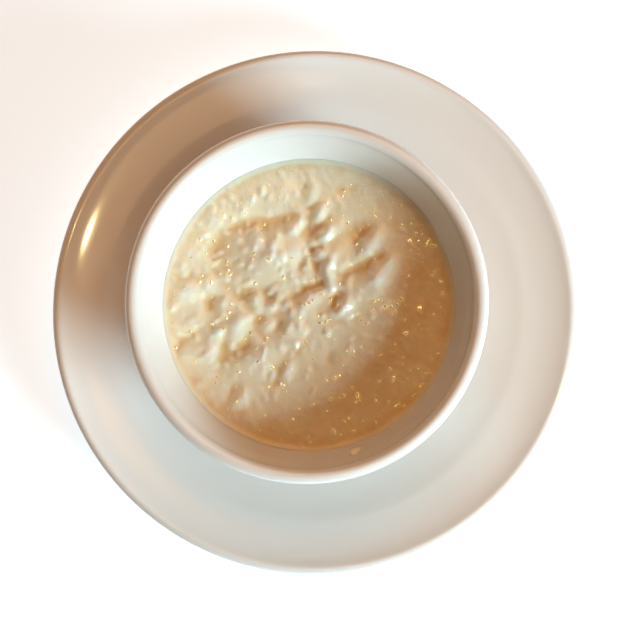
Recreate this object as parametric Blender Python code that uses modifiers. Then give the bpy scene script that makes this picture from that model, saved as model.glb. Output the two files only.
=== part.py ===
"""Rice pudding in a white china bowl that stands on its saucer.

Metres, +Z up. The origin is the middle of the saucer's foot ring, on the table.
Three solids: the saucer and the bowl are turned profiles, and the pudding fills the bowl to a
lumpy spooned surface. Each keeps a small gap to the one that carries it.
"""

import math
import random

import bpy

MM = 0.001
GAP = 0.35 * MM
MERGE = 0.00005
AXIS = 0.0
MATERIAL_ROUGHNESS = {"china": 0.12, "cream": 0.3}
CHINA_WHITE = (0.83, 0.81, 0.77, 1.0)
PUDDING_CREAM = (0.79, 0.68, 0.45, 1.0)

# Both pieces of china stand on a foot ring with a flat edge and a slightly tapered inner side.
FOOT_WIDTH = 3.2 * MM
FOOT_TAPER = 0.8 * MM

# Saucer: a plain sunk well for the bowl's foot, a rising side, a soft shoulder and a flared rim.
# A pull and a push are the two handles of the curve that joins one place to the next.
SAUCER_SEGMENTS = 60
SAUCER_RADIUS = 84.0 * MM
SAUCER_HEIGHT = 19.4 * MM
SAUCER_LIP = 1.9 * MM
SAUCER_LIP_START = 108.0
SAUCER_LIP_END = -68.0
WELL_RADIUS = 28.8 * MM
WELL_LEVEL = 6.6 * MM
WELL_STEP = 1.1 * MM
WELL_STEP_WIDTH = 3.2 * MM
SAUCER_SIDE_PULL = (45.0 * MM, 8.0 * MM)
SAUCER_SIDE_PUSH = (57.0 * MM, 10.4 * MM)
SAUCER_SHOULDER = (67.0 * MM, 14.3 * MM)
SAUCER_RIM_PULL = (71.5 * MM, 15.5 * MM)
SAUCER_RIM_PUSH = (78.5 * MM, 17.2 * MM)
SAUCER_UNDER_PULL = (74.5 * MM, 13.2 * MM)
SAUCER_UNDER_PUSH = (60.0 * MM, 7.6 * MM)
SAUCER_FOOT_OUTER = 48.6 * MM
SAUCER_FOOT_HEIGHT = 3.3 * MM
SAUCER_FOOT_FLARE = 1.0 * MM
SAUCER_RECESS = 3.0 * MM

# Bowl: a foot ring, a rounded side that flares a little, and a thick rounded lip.
# Its heights are counted from its own foot.
BOWL_SEGMENTS = 54
BOWL_RADIUS = 53.2 * MM
BOWL_HEIGHT = 54.0 * MM
BOWL_LIP = 2.2 * MM
BOWL_FLOOR = 8.2 * MM
BOWL_FLOOR_EDGE = (17.0 * MM, 8.6 * MM)
BOWL_INSIDE_PULL = (41.8 * MM, 35.8 * MM)
BOWL_INSIDE_PUSH = (39.5 * MM, 9.6 * MM)
BOWL_OUTSIDE_PULL = (46.4 * MM, 35.8 * MM)
BOWL_OUTSIDE_PUSH = (43.6 * MM, 8.4 * MM)
BOWL_FOOT_OUTER = 26.8 * MM
BOWL_FOOT_HEIGHT = 3.2 * MM
BOWL_FOOT_FLARE = 0.9 * MM
BOWL_BASE = WELL_LEVEL + GAP

# Pudding: its mean level, and how it climbs the china where it touches.
PUDDING_SEGMENTS = BOWL_SEGMENTS
PUDDING_RINGS = 19
PUDDING_BELOW_LIP = 16.0 * MM
MENISCUS = 0.5 * MM
MENISCUS_WIDTH = 2.2 * MM
SMOOTH_BORDER = 7.0 * MM
LUMP_FALLOFF = 1.3

# Spooned lumps of the pudding: x, y, half length, half width, turn in degrees, height (millimetres).
LUMPS = (
    (-12.0, 15.0, 9.0, 6.5, 15.0, 2.6),
    (-14.0, 0.5, 5.0, 3.2, 0.0, 1.6),
    (-34.0, 4.5, 5.5, 4.0, 35.0, 1.5),
    (-20.0, -9.0, 5.0, 3.6, 60.0, 1.7),
    (-14.5, -14.5, 6.0, 3.2, 33.0, 1.6),
    (-32.0, -13.5, 5.0, 3.4, 60.0, 1.2),
    (-3.0, -5.0, 7.0, 5.0, 40.0, 2.0),
    (4.5, 28.5, 5.5, 3.4, 75.0, 1.7),
    (6.0, 14.0, 4.6, 3.0, 45.0, 2.2),
    (21.5, 10.0, 7.0, 4.2, 48.0, 2.4),
    (11.5, -1.5, 6.0, 3.4, 35.0, 1.9),
    (-21.5, 28.0, 6.5, 4.0, 35.0, 1.1),
    (-20.0, -27.0, 5.0, 3.2, 30.0, 0.9),
)
# Hollows that the spoon left between them, in the same form with a depth.
HOLLOWS = (
    (-25.5, 16.5, 4.6, 2.8, 65.0, 1.7),
    (-12.0, 25.0, 10.0, 2.4, 18.0, 1.6),
    (-5.0, 5.5, 6.0, 2.4, 28.0, 1.6),
    (15.0, 19.5, 3.6, 3.0, 50.0, 1.9),
    (-24.5, -1.0, 4.0, 3.0, 70.0, 1.2),
    (-25.5, -17.5, 5.0, 2.4, 50.0, 1.1),
)
# Small swells everywhere, from rice just under the surface (millimetres).
SWELL_COUNT = 90
SWELL_HALF_LENGTH = 3.6
SWELL_HALF_WIDTH = 2.0
SWELL_HEIGHT = 0.45
SWELL_SIZES = (0.8, 1.2)
SWELL_SEED = 11


def clear_scene():
    """Removes whatever the start-up file holds."""
    for item in list(bpy.data.objects):
        bpy.data.objects.remove(item)


def make_material(name, color):
    """A Principled material of one colour."""
    material = bpy.data.materials.new(name)
    material.use_nodes = True
    shader = material.node_tree.nodes["Principled BSDF"]
    shader.inputs["Base Color"].default_value = color
    shader.inputs["Roughness"].default_value = MATERIAL_ROUGHNESS[name]
    shader.inputs["Metallic"].default_value = 0.0
    return material


def arc(centre, radius, start, end, steps):
    """Points along an arc of a profile, from start to end in degrees, both ends included."""
    points = []
    for i in range(steps + 1):
        angle = math.radians(start + (end - start) * i / steps)
        points.append((centre[0] + radius * math.cos(angle), centre[1] + radius * math.sin(angle)))
    return points


def bezier(start, pull, push, end, steps):
    """Points along a cubic Bezier curve of a profile, without its first point."""
    points = []
    corners = (start, pull, push, end)
    for i in range(1, steps + 1):
        t = i / steps
        weights = ((1 - t) ** 3, 3 * t * (1 - t) ** 2, 3 * t * t * (1 - t), t**3)
        points.append(tuple(sum(w * c[k] for w, c in zip(weights, corners)) for k in (0, 1)))
    return points


def foot_ring(outer, recess):
    """The foot's flat edge, its inner side and the ceiling of the recess, out to in."""
    inner = outer - FOOT_WIDTH
    return [(outer, 0.0), (inner, 0.0), (inner - FOOT_TAPER, recess), (AXIS, recess)]


def raised(points, height):
    """A profile moved up by a height."""
    return [(radius, z + height) for radius, z in points]


def turned(name, profile, segments, material, collection):
    """A profile of (radius, height) points turned about Z with a Screw modifier."""
    mesh = bpy.data.meshes.new(name)
    edges = [(i, i + 1) for i in range(len(profile) - 1)]
    mesh.from_pydata([(radius, 0.0, z) for radius, z in profile], edges, [])
    mesh.materials.append(material)
    obj = bpy.data.objects.new(name, mesh)
    collection.objects.link(obj)
    screw = obj.modifiers.new("Turn", "SCREW")
    screw.axis = "Z"
    screw.angle = math.tau
    screw.steps = segments
    screw.render_steps = segments
    screw.use_merge_vertices = True
    screw.merge_threshold = MERGE
    screw.use_smooth_shade = True
    return obj


def saucer_profile():
    """From the middle of the well, over the rim, to the middle of the underside."""
    step_middle = WELL_RADIUS + WELL_STEP_WIDTH / 2
    step_end = (WELL_RADIUS + WELL_STEP_WIDTH, WELL_LEVEL + WELL_STEP)
    lip_middle = (SAUCER_RADIUS - SAUCER_LIP, SAUCER_HEIGHT - SAUCER_LIP)
    lip = arc(lip_middle, SAUCER_LIP, SAUCER_LIP_START, SAUCER_LIP_END, 6)
    well_edge = (WELL_RADIUS, WELL_LEVEL)
    top = [(AXIS, WELL_LEVEL), well_edge]
    top += bezier(well_edge, (step_middle, WELL_LEVEL), (step_middle, step_end[1]), step_end, 3)
    top += bezier(step_end, SAUCER_SIDE_PULL, SAUCER_SIDE_PUSH, SAUCER_SHOULDER, 6)
    top += bezier(SAUCER_SHOULDER, SAUCER_RIM_PULL, SAUCER_RIM_PUSH, lip[0], 4)
    foot_top = (SAUCER_FOOT_OUTER + SAUCER_FOOT_FLARE, SAUCER_FOOT_HEIGHT)
    under = bezier(lip[-1], SAUCER_UNDER_PULL, SAUCER_UNDER_PUSH, foot_top, 6)
    return top + lip[1:] + under + foot_ring(SAUCER_FOOT_OUTER, SAUCER_RECESS)


def bowl_inside():
    """The inner wall from the lip down to the middle of the floor."""
    rim = (BOWL_RADIUS - 2 * BOWL_LIP, BOWL_HEIGHT - BOWL_LIP)
    wall = [rim] + bezier(rim, BOWL_INSIDE_PULL, BOWL_INSIDE_PUSH, BOWL_FLOOR_EDGE, 10)
    return wall + [(AXIS, BOWL_FLOOR)]


def bowl_profile():
    """From the middle of the floor, up the inside, over the lip, to the middle of the underside."""
    lip = arc((BOWL_RADIUS - BOWL_LIP, BOWL_HEIGHT - BOWL_LIP), BOWL_LIP, 180.0, 0.0, 7)
    foot_top = (BOWL_FOOT_OUTER + BOWL_FOOT_FLARE, BOWL_FOOT_HEIGHT)
    outside = bezier(lip[-1], BOWL_OUTSIDE_PULL, BOWL_OUTSIDE_PUSH, foot_top, 10)
    return bowl_inside()[::-1] + lip[1:] + outside + foot_ring(BOWL_FOOT_OUTER, BOWL_FOOT_HEIGHT)


def wall_radius(height):
    """The inner wall's radius at a height above the bowl's foot."""
    wall = bowl_inside()
    for (upper_r, upper_z), (lower_r, lower_z) in zip(wall, wall[1:]):
        if lower_z <= height <= upper_z:
            share = (height - lower_z) / (upper_z - lower_z)
            return lower_r + share * (upper_r - lower_r)
    return wall[0][0]


def pudding_profile():
    """From the middle of the surface, out to the wall, and down the wall to the floor's middle."""
    level = BOWL_HEIGHT - PUDDING_BELOW_LIP
    edge = wall_radius(level) - GAP
    top = [(edge * i / PUDDING_RINGS, level) for i in range(PUDDING_RINGS + 1)]
    side = [(r - GAP, z + GAP) for r, z in bowl_inside() if z < level - MM and r > GAP]
    return top + side + [(AXIS, BOWL_FLOOR + GAP)], edge


def bump(x, y, lump):
    """1 at a lump's middle, falling smoothly to 0 around it."""
    middle_x, middle_y, half_length, half_width, turn = lump[:5]
    cos, sin = math.cos(math.radians(turn)), math.sin(math.radians(turn))
    along = ((x - middle_x) * cos + (y - middle_y) * sin) / half_length
    across = ((y - middle_y) * cos - (x - middle_x) * sin) / half_width
    return math.exp(-((along**2 + across**2) ** LUMP_FALLOFF))


def swells(reach):
    """Small lumps scattered evenly over a disc, as rows like those of LUMPS."""
    chance = random.Random(SWELL_SEED)
    rows = []
    for _ in range(SWELL_COUNT):
        radius = reach * math.sqrt(chance.random())
        angle = chance.uniform(0.0, math.tau)
        size = chance.uniform(*SWELL_SIZES)
        place = (radius * math.cos(angle) / MM, radius * math.sin(angle) / MM)
        form = (SWELL_HALF_LENGTH * size, SWELL_HALF_WIDTH * size)
        rows.append((*place, *form, chance.uniform(0.0, 180.0), SWELL_HEIGHT * size))
    return rows


def relief(x, y, edge, rows):
    """Height of the pudding's surface above its mean level, in metres."""
    from_wall = edge - math.hypot(x, y)
    height = sum(row[5] * bump(x / MM, y / MM, row) for row in rows) * MM
    height -= sum(row[5] * bump(x / MM, y / MM, row) for row in HOLLOWS) * MM
    share = min(1.0, max(0.0, from_wall / SMOOTH_BORDER))
    fade = share * share * (3 - 2 * share)
    return height * fade + MENISCUS * math.exp(-((from_wall / MENISCUS_WIDTH) ** 2))


def make_pudding(material, collection):
    """The pudding: a turned solid whose top is then raised and dented."""
    profile, edge = pudding_profile()
    pudding = turned("pudding", raised(profile, BOWL_BASE), PUDDING_SEGMENTS, material, collection)
    graph = bpy.context.evaluated_depsgraph_get()
    shaped = bpy.data.meshes.new_from_object(pudding.evaluated_get(graph))
    pudding.modifiers.clear()
    pudding.data = shaped
    rows = (*LUMPS, *swells(edge - SMOOTH_BORDER))
    top_level = BOWL_BASE + BOWL_HEIGHT - PUDDING_BELOW_LIP
    for vertex in shaped.vertices:
        if vertex.co.z > top_level - GAP:
            vertex.co.z += relief(vertex.co.x, vertex.co.y, edge, rows)


def main():
    """Builds the saucer, the bowl and the pudding."""
    clear_scene()
    collection = bpy.data.collections.new("rice_pudding")
    bpy.context.scene.collection.children.link(collection)
    china = make_material("china", CHINA_WHITE)
    cream = make_material("cream", PUDDING_CREAM)
    turned("saucer", saucer_profile(), SAUCER_SEGMENTS, china, collection)
    turned("bowl", raised(bowl_profile(), BOWL_BASE), BOWL_SEGMENTS, china, collection)
    make_pudding(cream, collection)


main()
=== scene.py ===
"""The finished look of a bowl of rice pudding on its saucer.

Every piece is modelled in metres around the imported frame: the saucer and the bowl are turned in
fine china, and the pudding is a spooned cream surface over sunken rice. The grains that break
through it, the grain stuck on the wall and the tiny bubbles are separate meshes.
"""

import logging
import math
from dataclasses import dataclass
from enum import Enum

import bpy
import numpy as np
from mathutils import Euler, Matrix, Vector


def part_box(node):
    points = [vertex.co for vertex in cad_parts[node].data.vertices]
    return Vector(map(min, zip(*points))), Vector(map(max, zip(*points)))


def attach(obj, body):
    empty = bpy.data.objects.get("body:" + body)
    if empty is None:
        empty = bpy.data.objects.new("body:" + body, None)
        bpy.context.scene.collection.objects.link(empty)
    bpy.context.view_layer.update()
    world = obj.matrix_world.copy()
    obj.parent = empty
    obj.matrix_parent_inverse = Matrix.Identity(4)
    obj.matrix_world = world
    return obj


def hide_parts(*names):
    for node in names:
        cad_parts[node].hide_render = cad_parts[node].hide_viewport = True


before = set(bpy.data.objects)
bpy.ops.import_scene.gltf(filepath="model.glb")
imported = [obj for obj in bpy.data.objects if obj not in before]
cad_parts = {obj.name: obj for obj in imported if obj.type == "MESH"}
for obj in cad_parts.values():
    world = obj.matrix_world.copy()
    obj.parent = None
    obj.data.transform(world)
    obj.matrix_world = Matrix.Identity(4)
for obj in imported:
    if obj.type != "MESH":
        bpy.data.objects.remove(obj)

LOG = logging.getLogger("rice_pudding")
MM = 0.001
BODY = "root"
# A noise of this scale has blots of about one metre.
BLOT_SCALE = 0.6

Point = tuple[float, float]
Triple = tuple[float, float, float]
Colour = tuple[float, float, float]


class Slot(Enum):
    """The record's material slots."""

    CHINA = "china"
    PUDDING = "pudding"


# ---- Small tools ----


def leave_all_unselected() -> None:
    """Leaves edit mode and deselects every object."""
    if bpy.context.object and bpy.context.object.mode != "OBJECT":
        bpy.ops.object.mode_set(mode="OBJECT")
    bpy.ops.object.select_all(action="DESELECT")


def arc(centre: Point, radius: float, start: float, end: float, steps: int) -> list[Point]:
    """Points along an arc of a profile.

    Args:
        centre: The arc's middle, as radius and height.
        radius: The arc's own radius.
        start: First angle, in degrees.
        end: Last angle, in degrees.
        steps: How many stretches the arc has.

    Returns:
        The points, both ends included.
    """
    angles = [math.radians(start + (end - start) * i / steps) for i in range(steps + 1)]
    return [(centre[0] + radius * math.cos(a), centre[1] + radius * math.sin(a)) for a in angles]


def bezier(start: Point, pull: Point, push: Point, end: Point, steps: int) -> list[Point]:
    """Points along a cubic Bezier curve of a profile, without its first point.

    Args:
        start: Where the curve begins.
        pull: The handle of its first end.
        push: The handle of its second end.
        end: Where the curve ends.
        steps: How many stretches the curve has.

    Returns:
        The points after the first one.
    """
    points = []
    for i in range(1, steps + 1):
        t = i / steps
        weights = ((1 - t) ** 3, 3 * t * (1 - t) ** 2, 3 * t * t * (1 - t), t**3)
        corners = (start, pull, push, end)
        points.append(tuple(sum(w * c[k] for w, c in zip(weights, corners)) for k in (0, 1)))
    return points


def rounded(points: list[Point], radius: float, steps: int = 3) -> list[Point]:
    """Rounds each inner corner of a short run of a profile.

    Args:
        points: The run's corners, its ends included.
        radius: How far from a corner its round begins.
        steps: Stretches in each round.

    Returns:
        The run with its corners cut by curves.
    """
    smooth = [points[0]]
    for before, corner, after in zip(points, points[1:], points[2:]):
        here = Vector(corner)
        to_before = (Vector(before) - here).normalized() * radius
        to_after = (Vector(after) - here).normalized() * radius
        begin, end = tuple(here + to_before), tuple(here + to_after)
        smooth += [begin] + bezier(begin, corner, corner, end, steps)
    return smooth + [points[-1]]


def turn(name: str, profile: list[Point], segments: int) -> bpy.types.Object:
    """Models a turned solid: a vertex is drawn out along the profile, then spun about Z.

    Args:
        name: The piece's name.
        profile: Radius and height of its points, from axis to axis.
        segments: Steps round the axis.

    Returns:
        The piece, smooth and with its faces pointing outwards.
    """
    leave_all_unselected()
    bpy.ops.mesh.primitive_plane_add(size=MM)
    piece = bpy.context.object
    piece.name = piece.data.name = name
    bpy.ops.object.mode_set(mode="EDIT")
    bpy.ops.mesh.select_all(action="SELECT")
    bpy.ops.mesh.merge(type="CENTER")
    bpy.ops.transform.translate(value=(profile[0][0], 0.0, profile[0][1]))
    for (r0, z0), (r1, z1) in zip(profile, profile[1:]):
        step = {"value": (r1 - r0, 0.0, z1 - z0)}
        bpy.ops.mesh.extrude_region_move(TRANSFORM_OT_translate=step)
    bpy.ops.mesh.select_all(action="SELECT")
    bpy.ops.mesh.spin(steps=segments, angle=math.tau, center=(0, 0, 0), axis=(0, 0, 1))
    bpy.ops.mesh.select_all(action="SELECT")
    bpy.ops.mesh.remove_doubles(threshold=0.01 * MM)
    bpy.ops.mesh.normals_make_consistent(inside=False)
    bpy.ops.object.mode_set(mode="OBJECT")
    bpy.ops.object.shade_smooth_by_angle(angle=math.radians(40.0))
    return piece


def finished(
    piece: bpy.types.Object, finish: bpy.types.Material, slot: Slot, *nodes: str
) -> bpy.types.Object:
    """Gives a piece its finish, rides it on the body and hides the CAD nodes that it replaces.

    Args:
        piece: The modelled piece.
        finish: Its material.
        slot: Its material slot in the record. Not used.
        nodes: CAD nodes that it replaces, if any.

    Returns:
        The same piece.
    """
    piece.data.materials.append(finish)
    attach(piece, BODY)
    if nodes:
        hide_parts(*nodes)
    LOG.info("%s: %d faces", piece.name, len(piece.data.polygons))
    return piece


# ---- Shader groups and finishes ----


class Nodes:
    """A node tree being wired, with short calls to add and link nodes."""

    def __init__(self, tree: bpy.types.NodeTree) -> None:
        """Takes the tree to wire."""
        self.tree = tree

    def add(self, kind: str, inputs: dict | None = None, **settings) -> bpy.types.Node:
        """Adds a node.

        Args:
            kind: The node's type, without its "ShaderNode" prefix.
            inputs: Values or output sockets for its inputs, by name or number.
            settings: The node's own settings.

        Returns:
            The node.
        """
        node = self.tree.nodes.new(kind if kind.startswith("Node") else "ShaderNode" + kind)
        for key, value in settings.items():
            setattr(node, key, value)
        self.fill(node, inputs or {})
        return node

    def fill(self, node: bpy.types.Node, inputs: dict) -> None:
        """Feeds some of a node's inputs, each from an output or with a value."""
        for key, value in inputs.items():
            self.feed(node.inputs[key], value)

    def feed(self, socket: bpy.types.NodeSocket, value: object) -> None:
        """Links an output to a socket, or sets the socket's own value.

        Args:
            socket: The input to feed.
            value: An output socket, or a value of its own.
        """
        if isinstance(value, bpy.types.NodeSocket):
            self.tree.links.new(value, socket)
        else:
            socket.default_value = value

    def math(self, operation: str, *values: object, clamp: bool = False) -> bpy.types.NodeSocket:
        """Adds a Math node and returns its output."""
        node = self.add("Math", dict(enumerate(values)), operation=operation, use_clamp=clamp)
        return node.outputs[0]

    def mix(self, share: object, first: object, second: object) -> bpy.types.NodeSocket:
        """Mixes two colours, each an output or red, green and blue.

        Args:
            share: How much of the second colour.
            first: The first colour.
            second: The second colour.

        Returns:
            The mixed colour.
        """
        node = self.add("Mix", {0: share}, data_type="RGBA", blend_type="MIX")
        for key, colour in ((6, first), (7, second)):
            self.feed(node.inputs[key], (*colour, 1.0) if isinstance(colour, tuple) else colour)
        return node.outputs[2]

    def ramp(self, value: object, start: float, end: float) -> bpy.types.NodeSocket:
        """0 below start, 1 above end and smooth between them (end may be the lower one).

        Args:
            value: What runs from start to end.
            start: Where the ramp leaves 0.
            end: Where it reaches 1.

        Returns:
            The smooth share.
        """
        limits = {"Value": value, "From Min": min(start, end), "From Max": max(start, end)}
        if end < start:
            limits |= {"To Min": 1.0, "To Max": 0.0}
        return self.add("MapRange", limits, interpolation_type="SMOOTHERSTEP").outputs[0]

    def noise(self, where: object, size: float, detail: float = 2.0) -> bpy.types.NodeSocket:
        """Noise from 0 to 1 whose blots measure about size metres."""
        inputs = {"Vector": where, "Scale": BLOT_SCALE / size, "Detail": detail}
        return self.add("TexNoise", inputs).outputs[0]


def new_group(name: str, inputs: dict[str, float], outputs: dict[str, str]) -> tuple:
    """Starts a shader node group.

    Args:
        name: The group's name.
        inputs: Its number inputs with their defaults.
        outputs: Its outputs with their socket types.

    Returns:
        The group, its wiring helper, its input node and its output node.
    """
    group = bpy.data.node_groups.new(name, "ShaderNodeTree")
    face = group.interface
    for label, value in inputs.items():
        socket = face.new_socket(label, in_out="INPUT", socket_type="NodeSocketFloat")
        socket.default_value = value
    for label, kind in outputs.items():
        face.new_socket(label, in_out="OUTPUT", socket_type=kind)
    wires = Nodes(group)
    return group, wires, wires.add("NodeGroupInput"), wires.add("NodeGroupOutput")


def speck_group() -> bpy.types.NodeTree:
    """Sparse round specks: Size of a speck, Spread between them, Share of cells that have one.

    Returns:
        The group.
    """
    inputs = {"Size": 0.3 * MM, "Spread": 8.0 * MM, "Share": 0.3}
    group, wires, given, result = new_group("Specks", inputs, {"Mask": "NodeSocketFloat"})
    where = wires.add("TexCoord").outputs["Object"]
    scale = wires.math("DIVIDE", 1.0, given.outputs["Spread"])
    cells = wires.add("TexVoronoi", {"Vector": where, "Scale": scale}, feature="F1")
    reach = wires.math("MULTIPLY", cells.outputs["Distance"], given.outputs["Spread"])
    near = wires.math("SUBTRACT", given.outputs["Size"], reach)
    soft_edge = wires.math("MULTIPLY", given.outputs["Size"], 0.5)
    inside = wires.math("DIVIDE", near, soft_edge, clamp=True)
    tint = wires.add("SeparateColor", {"Color": cells.outputs["Color"]})
    chosen = wires.math("LESS_THAN", tint.outputs[0], given.outputs["Share"])
    wires.feed(result.inputs["Mask"], wires.math("MULTIPLY", inside, chosen))
    return group


def ripple_group() -> bpy.types.NodeTree:
    """Soft surface ripple: a height made of a broad and a fine noise, with the size of each.

    Returns:
        The group.
    """
    inputs = {"Broad Size": 12.0 * MM, "Fine Size": 1.5 * MM, "Fine Share": 0.2}
    group, wires, given, result = new_group("Ripple", inputs, {"Height": "NodeSocketFloat"})
    where = wires.add("TexCoord").outputs["Object"]
    layers = []
    for label in ("Broad Size", "Fine Size"):
        scale = wires.math("DIVIDE", BLOT_SCALE, given.outputs[label])
        noise = {"Vector": where, "Scale": scale, "Detail": 2.0}
        layers.append(wires.add("TexNoise", noise).outputs[0])
    fine = wires.math("MULTIPLY", layers[1], given.outputs["Fine Share"])
    wires.feed(result.inputs["Height"], wires.math("ADD", layers[0], fine))
    return group


class Groups:
    """The shader groups, each made once."""

    def __init__(self) -> None:
        """Builds every group."""
        self.specks = speck_group()
        self.ripple = ripple_group()


@dataclass(frozen=True)
class Finish:
    """What every finish has: a name and a Principled shader."""

    name: str

    def start(self) -> tuple[bpy.types.Material, Nodes, bpy.types.Node]:
        """Makes the material.

        Returns:
            The material, its wiring helper and its Principled shader.
        """
        material = bpy.data.materials.new(self.name)
        material.use_nodes = True
        shader = material.node_tree.nodes["Principled BSDF"]
        return material, Nodes(material.node_tree), shader

    def ripple(self, wires: Nodes, groups: Groups, bump: Point,
               **values: float) -> bpy.types.NodeSocket:
        """Makes a normal of the shared ripple, bumped with a strength and a distance.

        Args:
            wires: The material's wiring helper.
            groups: The shared groups.
            bump: The bump's strength and its distance.
            values: The ripple's own values.

        Returns:
            The rippled normal.
        """
        height = self.place(wires, groups.ripple, **values).outputs[0]
        given = {"Strength": bump[0], "Distance": bump[1], "Height": height}
        return wires.add("Bump", given).outputs[0]

    @staticmethod
    def moist(specular: float, blur: float, radius: Colour) -> dict:
        """What the shaders of moist, slightly translucent food have in common.

        Args:
            specular: The specular level under the wet film.
            blur: The subsurface weight.
            radius: How far each colour travels, as shares of the subsurface scale.

        Returns:
            Values of the Principled shader's inputs.
        """
        wet = {"Coat Roughness": 0.045, "Coat IOR": 1.4, "Specular IOR Level": specular}
        deep = {"Subsurface Weight": blur, "Subsurface Scale": 1.2 * MM}
        return wet | deep | {"Subsurface Radius": radius, "IOR": 1.42}

    @staticmethod
    def place(wires: Nodes, group: bpy.types.NodeTree, **values: float) -> bpy.types.Node:
        """Places a shared group with its own values, named with _ for a space.

        Args:
            wires: The material's wiring helper.
            group: The group to place.
            values: Its inputs.

        Returns:
            The group node.
        """
        node = wires.add("Group", node_tree=group)
        for label, value in values.items():
            node.inputs[label.replace("_", " ")].default_value = value
        return node


@dataclass(frozen=True)
class GlazedChina(Finish):
    """White hotel china: a glossy, faintly wavy glaze, and a bare foot that stands on the table."""

    foot_level: float
    body: Colour = (0.80, 0.785, 0.765)
    shade: Colour = (0.77, 0.75, 0.715)
    bare: Colour = (0.70, 0.66, 0.60)
    speck: Colour = (0.20, 0.13, 0.09)

    def build(self, groups: Groups) -> bpy.types.Material:
        """Wires the finish.

        Args:
            groups: The shared groups.

        Returns:
            The material.
        """
        material, wires, shader = self.start()
        where = wires.add("TexCoord").outputs["Object"]
        clear = wires.mix(wires.noise(where, 26 * MM), self.body, self.shade)
        specks = self.place(wires, groups.specks, Size=0.28 * MM, Spread=11 * MM, Share=0.16)
        dotted = wires.mix(wires.math("MULTIPLY", specks.outputs[0], 0.55), clear, self.speck)
        height = wires.add("SeparateXYZ", {0: where}).outputs[2]
        bare = wires.ramp(height, self.foot_level + 0.55 * MM, self.foot_level + 0.25 * MM)
        gloss = wires.math("MULTIPLY_ADD", wires.noise(where, 9 * MM, 4.0), 0.07, 0.075)
        waves = {"Broad_Size": 20 * MM, "Fine_Size": 2 * MM, "Fine_Share": 0.05}
        looks = {
            "Base Color": wires.mix(bare, dotted, self.bare),
            "Roughness": wires.math("MULTIPLY_ADD", bare, 0.5, gloss),
            "Normal": self.ripple(wires, groups, (0.25, 0.12 * MM), **waves),
            "IOR": 1.52,
        }
        wires.fill(shader, looks)
        return material


@dataclass(frozen=True)
class RiceCream(Finish):
    """Moist cream with painted shade and painted light: darker and warmer in the hollows, paler on
    the tops of the lumps over the rice, thin and pale at the wall.
    """

    # The hollows' colour is painted shade, and crest is painted light on the tops of the lumps.
    shaded_hollow: Colour = (0.84, 0.61, 0.32)
    cream: Colour = (0.945, 0.83, 0.61)
    crest: Colour = (0.975, 0.91, 0.77)
    film: Colour = (0.93, 0.85, 0.69)
    speck: Colour = (0.45, 0.30, 0.16)

    def build(self, groups: Groups) -> bpy.types.Material:
        """Wires the finish.

        Args:
            groups: The shared groups.

        Returns:
            The material.
        """
        material, wires, shader = self.start()
        where = wires.add("TexCoord").outputs["Object"]
        rise = wires.add("Attribute", attribute_name="rise").outputs["Fac"]
        thin = wires.add("Attribute", attribute_name="thin").outputs["Fac"]
        blots = wires.math("MULTIPLY_ADD", wires.noise(where, 4 * MM, 3.0), 0.36, -0.18)
        level = wires.math("ADD", rise, blots)
        # Painted shade where the surface lies low, painted light on the tops of its lumps.
        body = wires.mix(wires.ramp(level, 0.15, 0.55), self.shaded_hollow, self.cream)
        body = wires.mix(wires.ramp(level, 0.5, 1.0), body, self.crest)
        specks = self.place(wires, groups.specks, Size=0.22 * MM, Spread=7 * MM, Share=0.3)
        body = wires.mix(wires.math("MULTIPLY", specks.outputs[0], 0.5), body, self.speck)
        damp = wires.noise(where, 3 * MM, 3.0)
        waves = {"Broad_Size": 2.2 * MM, "Fine_Size": 0.9 * MM, "Fine_Share": 0.45}
        film = {"Strength": 1.0, "Distance": 0.12 * MM, "Height": wires.noise(where, 0.9 * MM)}
        looks = {
            "Base Color": wires.mix(thin, body, self.film),
            "Roughness": wires.math("MULTIPLY_ADD", damp, 0.2, 0.28),
            "Coat Weight": wires.ramp(damp, 0.2, 0.6),
            "Normal": self.ripple(wires, groups, (0.7, 0.3 * MM), **waves),
            "Coat Normal": wires.add("Bump", film).outputs[0],
        }
        wires.fill(shader, looks | self.moist(0.4, 0.5, (1.0, 0.62, 0.34)))
        return material


@dataclass(frozen=True)
class CookedRice(Finish):
    """A cooked grain: paler than the cream, moist and a little translucent."""

    grain: Colour = (0.95, 0.89, 0.71)
    core: Colour = (0.96, 0.91, 0.76)

    def build(self, groups: Groups) -> bpy.types.Material:
        """Wires the finish.

        Args:
            groups: The shared groups.

        Returns:
            The material.
        """
        material, wires, shader = self.start()
        where = wires.add("TexCoord").outputs["Object"]
        cloud = wires.noise(where, 2.5 * MM, 3.0)
        waves = {"Broad_Size": 1.6 * MM, "Fine_Size": 0.5 * MM, "Fine_Share": 0.3}
        looks = {
            "Base Color": wires.mix(cloud, self.grain, self.core),
            "Roughness": wires.math("MULTIPLY_ADD", cloud, 0.2, 0.28),
            "Coat Weight": 0.8,
            "Normal": self.ripple(wires, groups, (0.4, 0.15 * MM), **waves),
        }
        wires.fill(shader, looks | self.moist(0.15, 0.4, (1.0, 0.7, 0.45)))
        return material


@dataclass(frozen=True)
class WetBubble(Finish):
    """The thin wet skin of a small bubble."""

    pale: Colour = (0.90, 0.81, 0.60)
    deep: Colour = (0.84, 0.68, 0.42)

    def build(self) -> bpy.types.Material:
        """Wires the finish.

        Returns:
            The material.
        """
        material, wires, shader = self.start()
        cloud = wires.noise(wires.add("TexCoord").outputs["Object"], 3 * MM)
        looks = {
            "Base Color": wires.mix(cloud, self.deep, self.pale),
            "Roughness": wires.math("MULTIPLY_ADD", cloud, 0.06, 0.02),
            "IOR": 1.4,
        }
        wires.fill(shader, looks)
        return material


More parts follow.
